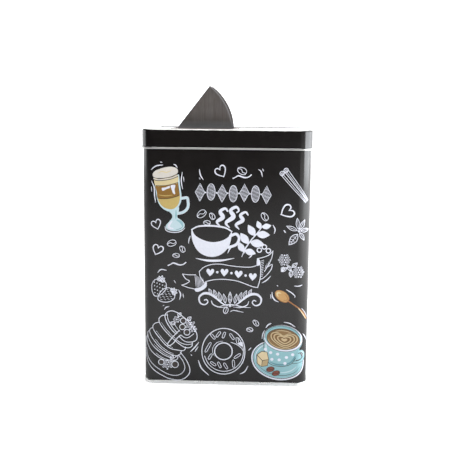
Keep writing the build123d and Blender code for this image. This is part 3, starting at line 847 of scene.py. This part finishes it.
def ribbon(p):
    """A waving ribbon with folded ends and a row of hearts and dots on it."""
    p.chalk(
        (0.55, (-19.4, 1.6), (-16, 4.8), (-10.4, 6.9), (-4, 7.3), (3, 6.3), (11, 5.5), (19, 5.6),
         (25, 7.8)),
        (0.55, (-14, -5.8), (-8, -4.4), (0, -4.1), (8, -5.1), (14, -7), (19.6, -9.1), (23.6, -9.8)),
        (0.55, (25, 7.8), (25.6, 4), (25.3, -3), (23.6, -9.8)),
        (0.51, (-19.4, 1.6), (-18.8, -2), (-16.4, -6), (-14, -8.8)),
        (0.55, (23, 11.8), (27.6, 13), (31.6, 14.8), (34.4, 17.8)),
        (0.51, (34.4, 17.8), (33.6, 13), (31.8, 8.4), (28.4, 2.4)),
        (0.51, (29.6, 5.6), (31.6, 6.4), (33.8, 7.8), (33.4, 4.4), (30.8, 0.6), (27.6, -2.6), (25.4, -3.6)),
        (0.51, (-31.8, -0.6), (-27, -1.1), (-22, -1)),
        (0.55, (-31.8, -0.6), (-29.4, -4.2), (-26.6, -5.8), (-29, -7.8), (-32.4, -9)),
        (0.51, (-32.4, -9), (-27.4, -10.8), (-22.6, -11.8)),
        (0.51, (-14, -8.8), (-18.4, -11.6), (-21.6, -12.8)),
    )
    p.fill("chalk", [
        (-22.6, -11.4), (-22, -13.6), (-19, -13.4), (-14.6, -10.6), (-13.8, -7.4), (-14.6, -5.6),
        (-15.6, -7.6), (-18.8, -10.4),
    ])
    p.fill("chalk", [(22.9, 11.8), (24.8, 10.8), (25.3, 7.8), (22.8, 6.6)])
    for k in range(10):
        z = 10.4 - 1.3 * k
        p.chalk((0.34, (25.8 - 0.03 * k, z - 0.4), (27.8 - 0.06 * k, z + 0.4)), straight=True, over=1)
    for k in range(7):
        x = -22.6 + 0.95 * k
        p.chalk((0.38, (x, -1 - 0.5 * k), (x + 0.5, -6), (x + 0.9, -10.2 - 0.1 * k)), over=1, taper=0.4)
    for k in range(4):
        p.chalk((0.34, (28.8 + 1.1 * k, 4.4 + 1.1 * k), (29.2 + 1.1 * k, 7 + 1.4 * k)), over=1, taper=0.5)
    for k in range(7):
        x = -11.4 + 5.2 * k
        z = 0.6 + 1.1 * math.sin(0.55 * k + 0.4) - 0.3 * k
        if k % 2:
            p.fill("chalk", oval(x, z, 0.9, 0.9))
        else:
            solid_heart(p.sub(x, z, -4, 0.56))


def scrolls(p):
    """A mirrored flourish of two scrolls with leaves."""
    for side in (-1, 1):
        for width, *points in (
            (1.3, (1.4, -5.8, 0.3), (6, -3.8, 0.7), (11, 0.4, 1.1), (16, 3.8, 1.5), (21.2, 4, 1.3),
             (24.6, 0.6), (23.6, -3.8, 0.8), (20, -5, 0.7), (17.6, -2.8, 0.6), (18.8, -0.8, 0.6),
             (20.4, -1.4, 0.6)),
            (0.7, (2.4, -6.4, 0.3), (8, -6.9, 0.9), (13.4, -4.8, 1), (14.8, -1.8, 0.6)),
        ):
            p.chalk((width, *((side * a, *rest) for a, *rest in points)))
        for x, z, turn, length, half in (
            (3.6, -3.6, 78, 7.8, 1.3), (7, -1.8, 74, 7.6, 1.3), (10.6, 1.2, 68, 6.4, 1.2),
            (14.6, 4, 60, 4.6, 1),
        ):
            leaf(p, side * x, z, turn if side > 0 else 180 - turn, length, half, width=0.42)
    leaf(p, 0, -3.8, 90, 9.4, 1.5, veins=2, width=0.42)
    p.fill("chalk", oval(0, -5.6, 1, 1))


def underline(p):
    """A light flourish: a long stroke, a bean and a loop."""
    p.chalk((0.77, (-12, 1.6, 0.4), (-6, 3.6), (0, 3.8), (6, 2.4), (12.6, 1.8, 0.5)), taper=0.4)
    p.chalk((0.59, (-2.4, -1.6, 0.6), (-0.6, -0.5), (2, -0.7), (7.4, -1.8, 0.5)), taper=0.3)
    p.ring(0.51, -5.7, -0.5, 1.7, 2.5, -15)
    p.chalk((0.38, (-6.4, -2.6), (-5.6, -0.5), (-5.2, 1.6)), over=1)


def pot(p):
    """A stove-top coffee pot."""
    p.chalk(
        (0.55, (-9, 0), (-7.6, 13), (7.6, 13), (9, 0), (-9, 0)),
        (0.55, (-7.2, 15), (-8.6, 30), (8.2, 30), (7.2, 15), (-7.2, 15)),
        (0.77, (-8, 14), (8, 14)),
        straight=True,
    )
    p.chalk(
        (0.51, (-8.6, 30), (-12.4, 28.2), (-8.2, 24.4)),
        (0.55, (-7.6, 30.4), (-4, 34), (0, 35), (4, 34), (7.4, 30.4)),
    )
    p.ring(0.55, 0, 36.8, 1.7, 1.7)
    p.chalk((1.5, (8, 28.6), (14.4, 28.8), (15.4, 24), (13.4, 17.6, 0.8)))
    for x in (-3.4, 3.4):
        p.chalk((0.38, (x * 1.1, 15), (x, 30)), (0.38, (x * 1.25, 0), (x, 13)), straight=True)
    for k in range(7):
        p.chalk((0.34, (-7.4 + 0.5 * k, 27.6 - 1.7 * k), (-5.2 + 0.3 * k, 28.8 - 1.7 * k)), taper=0.5)


def croissant(p):
    p.chalk(
        (0.55, (-13, -4.6), (-11.4, 1.4), (-6, 6), (0.4, 7.4), (7, 5.6), (11.8, 0.8), (13.2, -5)),
        (0.55, (-13, -4.6), (-9.8, -5.4), (-7, -1.6), (-2.6, 0.4), (3, 0.2), (7.2, -2.2), (9.6, -5.8),
         (13.2, -5)),
    )
    for x, top, low in ((-8.8, 4, -4), (-4.6, 6.7, -0.6), (0.2, 7.4, 0.4), (4.8, 6.5, -0.6), (9, 4, -4.4)):
        p.chalk((0.47, (x, top), (x + 0.28 * x + 0.4, (top + low) / 2), (x * 0.86, low)))
        p.chalk((0.34, (x + 1.2, top - 1.6), (x + 0.25 * x + 1.4, (top + low) / 2)), taper=0.5)


def cupcake(p):
    p.chalk((0.55, (-8, 6), (-5.8, -6), (5.8, -6), (8, 6)), straight=True)
    for k in range(-3, 4):
        p.chalk((0.38, (2.2 * k, 5.4), (1.6 * k, -5.6)), straight=True)
    p.chalk(
        (0.55, (-8.4, 5.6), (-10.2, 8.4), (-7.6, 11), (-7, 14.4), (-3.6, 15.2), (-1.4, 18.8), (2, 17.4),
         (4.6, 15.4), (7.4, 13.6), (7.6, 10.6), (10.2, 8), (8.4, 5.6)),
        (0.42, (-8.4, 6), (-4, 4.6), (0, 5.8), (4, 4.6), (8.4, 6)),
    )
    p.chalk(
        (0.42, (-6.8, 10.6), (-1.6, 9), (4.6, 10.2)),
        (0.42, (-3.2, 14.6), (0.8, 13.4), (4, 14.4)),
        taper=0.4,
    )
    p.ring(0.51, 0.2, 20.6, 2, 2)


def chalk_drawings(p):
    """The white drawings of a broad face, about the middle of its lower edge."""
    for x, z, turn, size, width in (
        (-3.9, 159.8, 28, 0.78, 0.75), (43.7, 131.8, -64, 0.92, 0.95), (-50.8, 120.8, 16, 0.68, 0.65),
        (-50.2, 102.1, -24, 0.74, 0.75),
    ):
        heart(p.sub(x, z, turn, size), width)
    for x, z, long, wide, turn in (
        (11.2, 160.7, 3.3, 2.5, -30), (-17.8, 129.2, 3.5, 2.5, 35), (-10.1, 127.6, 2.5, 1.8, -62),
        (-13.9, 122.8, 2.4, 1.7, -8), (27.9, 127.8, 3.1, 2.2, -58), (-39.6, 107.3, 3.2, 2.3, 15),
        (-31.8, 103, 2.4, 1.8, -62), (-36.4, 98.2, 2.4, 1.6, -5), (18.2, 43, 2.3, 1.6, -8),
        (22.7, 48.2, 2.6, 1.7, -50),
    ):
        bean(p.sub(x, z, turn), long, wide)
    swash(p.sub(11.3, 156.6, 2), 13)
    swash(p.sub(-35.8, 91.9, 1), 13)
    cinnamon(p.sub(41.5, 160.1, -51))
    flower(p.sub(52.8, 117.6))
    hatched_row(p.sub(5, 144.5, -1))
    steaming_cup(p.sub(0, 110))
    ribbon(p.sub(0, 85))
    berry(p, 42.8, 96.2, 4.6)
    berry(p, 53.2, 87.2, 4.4)
    for x, z, turn, length in (
        (40.6, 87.6, 35, 5), (45.4, 92, -60, 4.4), (47.6, 83.4, 86, 5.4), (48.4, 90.8, 40, 5),
        (42.4, 91, -115, 3.6),
    ):
        leaf(p, x, z, turn, length, 1.3, veins=1)
    strawberry(p.sub(-49.4, 74.4, -20, 0.92), hatch=False)
    strawberry(p.sub(-43.4, 68.2, -62, 0.9), hatch=True)
    scrolls(p.sub(3.4, 66.2, 0, 0.93))
    underline(p.sub(6, 58))
    pancakes(p.sub(-40.9, 19.5))
    donut(p.sub(-1.2, 25.8))
    p.chalk(
        (0.77, (-54.4, 160.6), (-50.8, 163.4), (-45.6, 164.3)), (0.51, (-47.8, 166.4), (-46.2, 166)),
        (0.77, (-38, 164.8), (-36.6, 164.2), (-35.4, 162.4)),
        (0.77, (-31.8, 159.2), (-32.5, 153), (-31.6, 147)), (0.51, (-30.9, 156), (-30.6, 152.4)),
        (0.85, (-54, 152.8), (-52.2, 148), (-51.9, 142), (-51.2, 137.2)),
        (0.51, (-54.2, 148.6), (-53.9, 145)), (0.85, (-19.5, 161.4), (-18.7, 157.4), (-16.7, 154)),
        (0.51, (-19.6, 155.4), (-18.8, 154.2)), (0.77, (22.8, 162), (24.8, 160.4), (25.8, 156.8)),
        (0.59, (25.8, 162.4), (26.6, 160.6)), (0.77, (-27.3, 107.4), (-26.9, 110.4), (-26, 112.8)),
        (0.68, (-5.8, 105.2), (-6.4, 102), (-8.2, 99.2)), (0.85, (1.4, 100.6), (2.6, 103.4), (4.6, 105.6)),
        (0.77, (13.6, 100.8), (13.8, 103.6), (14.8, 106)),
        (0.77, (16.8, 97.2), (18.4, 98.6), (19.6, 100.6)), (0.85, (34, 121.8), (35.6, 118.6), (35, 115.6)),
        (0.94, (42, 118), (43.2, 116.4)), (0.77, (50.4, 76.9), (53.2, 76.7), (56.4, 77.6)),
        (0.77, (26.6, 78.7), (30, 80.8), (33, 84)),
        (0.85, (34.2, 71.8), (34.6, 68.6), (36.6, 65.8), (39, 64.7)), (0.51, (33.1, 70.2), (33.5, 67)),
        (0.77, (44.6, 74), (48.4, 71.8), (51, 69.4), (50.8, 68.2)), (0.59, (37.6, 77), (38.6, 76.6)),
        (0.77, (-50, 85.2), (-47.6, 87.5), (-43.6, 87)), (0.59, (-38, 79.6), (-36.8, 77.4)),
        (0.94, (-34.6, 72.4), (-33.2, 69), (-33.9, 65.2)), (0.59, (-31.5, 69.6), (-31, 66.6)),
        (0.77, (-45.2, 57.2), (-44.2, 58.8), (-41.8, 59.6)), (0.51, (-46.4, 59.8), (-45.4, 60.6)),
        (0.85, (-19.6, 32.6), (-22.6, 28.6), (-26, 25)), (0.68, (-20.2, 29), (-22.6, 25.2)),
        (0.77, (-25.6, 22.8), (-24.8, 22)), (0.94, (-20, 18.4), (-17.6, 12.4), (-12.2, 7)),
        (0.85, (17.2, 14.8), (15, 10.6), (11.4, 8.4)), (0.68, (19.4, 29.2), (17.4, 27)),
        (0.85, (34, 48.2), (31.8, 47), (30.2, 44.8)), (0.77, (43.4, 49.2), (47.8, 48.4), (51.8, 45.8)),
        (0.68, (27.4, 36.4), (27.8, 39.5), (29.1, 42.6)), (0.77, (58, 40.3), (60.2, 37.9), (61.8, 35.2)),
        taper=0.6,
    )


def side_drawings(p):
    """The white drawings of a narrow face, about the middle of its lower edge."""
    pot(p.sub(-12, 116, 8))
    croissant(p.sub(14, 148, -18))
    cupcake(p.sub(-14, 66, 10, 1.05))
    donut(p.sub(-12, 26, 20, 0.78))
    strawberry(p.sub(19, 121, 22, 0.95), hatch=False)
    flower(p.sub(19.6, 72, 30))
    cinnamon(p.sub(-24, 98, 8, 0.9))
    for x, z, turn, size in (
        (-20, 163, -14, 0.75), (21, 98, 16, 0.8), (18.4, 51, -20, 0.85), (-24, 88, 10, 0.6),
    ):
        heart(p.sub(x, z, turn, size), 0.85)
    for x, z, long, wide, turn in (
        (-6, 160.6, 3.3, 2.2, 24), (24, 134, 2.7, 1.8, -50), (10.4, 103.6, 3.2, 2.2, 12),
        (2.4, 90, 2.7, 1.8, -60), (6.6, 51.6, 2.8, 1.9, -30), (23, 162, 3, 2.1, -20),
        (14, 9.6, 3, 2, 30), (22.4, 13.4, 2.5, 1.7, -40),
    ):
        bean(p.sub(x, z, turn), long, wide)
    swash(p.sub(2, 168, 4), 15)
    swash(p.sub(14, 85.6, -6), 12)
    swash(p.sub(-14, 50.6, 3), 13)
    berry(p, 15.6, 32.6, 5)
    berry(p, 23.6, 28.4, 4.6)
    berry(p, 14.4, 23.6, 4.4)
    for x, z, turn in ((16, 37.6, 100), (25.4, 33, 50), (10.4, 20.8, 200)):
        leaf(p, x, z, turn, 5, 1.6, veins=1)
    for x, z, angle, length, bend, width in (
        (-27, 136, 96, 10, -1, 0.8), (-2, 155, -30, 6, 0.6, 0.7), (26, 112, -70, 7, 0.8, 0.8),
        (-27.4, 74, 92, 8, 0.8, 0.8), (4.4, 72, -84, 7, 0.8, 0.7), (-1, 14, 52, 8, -0.8, 0.8),
        (-26, 12.6, -50, 8, -0.8, 0.8), (9.6, 62.6, 20, 5, 0.6, 0.7), (27, 46, -62, 5, 0.6, 0.7),
    ):
        mark(p.sub(x, z, angle), length, bend, width)


# What is printed where: the broad faces are alike, and so are the narrow ones

def print_piece(name, motif, u, z=0):
    piece = Print(name)
    motif(piece.sub(u, z))
    piece.done()


for face, middle in (("front", 0), ("back", AROUND / 2)):
    for motif, u, z in ((glass, -42, 140), (cup, 40, 20), (spoon, 50, 60)):
        print_piece(f"print_{motif.__name__}_{face}", motif, middle + u, z)
    print_piece(f"print_chalk_{face}", chalk_drawings, middle)
for face, middle in (("right", AROUND / 4), ("left", -AROUND / 4)):
    print_piece(f"print_chalk_{face}", side_drawings, middle)


# Stage, light and camera

ROOM_LIGHT = 0.05


def place_stage(name, points, faces, material):
    mesh = bpy.data.meshes.new(name)
    mesh.from_pydata(points, [], faces)
    mesh.shade_smooth()
    mesh.materials.append(material)
    new_object(name, mesh)


def wall():
    """A rounded white wall behind the tin and at its sides, on a cove. It glows, most on the right."""
    reach, cove, top = 2.4, 0.3, 0.9
    left, right = -82, 108  # where it starts and ends, in degrees from the camera's side
    steps = 48
    section = [(reach - cove, 0.0)]
    for k in range(1, 9):
        turn = math.pi / 2 * k / 8
        section.append((reach - cove + cove * math.sin(turn), cove - cove * math.cos(turn)))
    section.append((reach, top))
    points = []
    for k in range(steps + 1):
        angle = math.radians(left - (left + 360 - right) * k / steps)
        points += [(r * math.sin(angle), -r * math.cos(angle), z) for r, z in section]
    rows = len(section)
    faces = [
        (k * rows + j, k * rows + j + 1, (k + 1) * rows + j + 1, (k + 1) * rows + j)
        for k in range(steps) for j in range(rows - 1)
    ]
    s = Shader("wall_paint")
    across = s.part(s.place, "X")
    glow = s.math("ADD", s.ramp(across, 0.6, 2.2, 1.1, 4.5), s.ramp(across, -0.4, -2.0, 0.0, 0.7))
    s.set(Base_Color=(0.85, 0.85, 0.85), Roughness=0.9)
    s.set(Emission_Color=(0.97, 0.985, 1.0), Emission_Strength=glow)
    place_stage("wall", points, faces, s.material)


def floor():
    """Pale paper, white where the camera sees it and bright on the right. To reflections the part far in
    front is dim, as in a dark room."""
    half, back, sunk = 3.4, 2.4, 0.0003
    s = Shader("floor_paper")
    grey = s.ramp(s.part(s.place, "Y"), -1.7, -0.6, 0.12, 0.88)
    away = s.vector("LENGTH", s.place, output="Value")
    seen = s.tree.nodes.new("ShaderNodeLightPath").outputs["Is Camera Ray"]
    glow = s.math("MULTIPLY", seen, s.ramp(away, 0.15, 1.3, 0.8, 1.0))
    glow = s.math("MAXIMUM", glow, s.ramp(s.part(s.place, "X"), 0.05, 0.5, 0.0, 1.4))
    s.set(Base_Color=s.node("ShaderNodeCombineXYZ", {0: grey, 1: grey, 2: grey}), Roughness=0.9)
    s.set(Emission_Color=(1, 1, 1), Emission_Strength=glow)
    points = [(x, y, -sunk) for x, y in ((-half, -half), (half, -half), (half, back), (-half, back))]
    place_stage("floor", points, [(0, 1, 2, 3)], s.material)


def softbox(name, at, towards, width, height, power, colour=(1, 1, 1)):
    data = bpy.data.lights.new(name, "AREA")
    data.shape = "RECTANGLE"
    data.size = width
    data.size_y = height
    data.energy = power
    data.color = colour
    box = new_object(name, data)
    box.location = at
    box.rotation_euler = (Vector(towards) - Vector(at)).to_track_quat("-Z", "Y").to_euler()


def world():
    """Dim room for light and reflections, and white where the camera sees past the wall."""
    made = bpy.data.worlds.new("studio")
    made.use_nodes = True
    tree = made.node_tree
    seen = tree.nodes.new("ShaderNodeLightPath").outputs["Is Camera Ray"]
    strength = tree.nodes.new("ShaderNodeMapRange")
    strength.inputs[3].default_value = ROOM_LIGHT
    tree.links.new(seen, strength.inputs[0])
    tree.links.new(strength.outputs[0], tree.nodes["Background"].inputs["Strength"])
    tree.nodes["Background"].inputs["Color"].default_value = (1, 1, 1, 1)
    bpy.context.scene.world = made


def camera():
    data = bpy.data.cameras.new("camera")
    data.lens = CAMERA_LENS
    data.sensor_width = 36.0
    made = new_object("camera", data)
    level = Euler((math.pi / 2 - CAMERA_DOWN, 0, CAMERA_YAW)).to_matrix().to_4x4()
    made.matrix_world = Matrix.Translation(CAMERA_AT) @ level @ Matrix.Rotation(-CAMERA_ROLL, 4, "Z")
    bpy.context.scene.camera = made


wall()
floor()
softbox("window", (1.25, -0.34, 0.42), (0, 0, 0.38), 1.5, 0.80, 37, (0.93, 0.965, 1.0))
softbox("over", (-0.1, -0.55, 1.1), (-0.1, -0.45, 0), 0.6, 0.5, 4.0)
softbox("rear", (0.0, 0.9, 1.7), (0, 0.8, 0), 1.8, 1.0, 30)
world()
bpy.context.scene.view_settings.view_transform = "Standard"
camera()
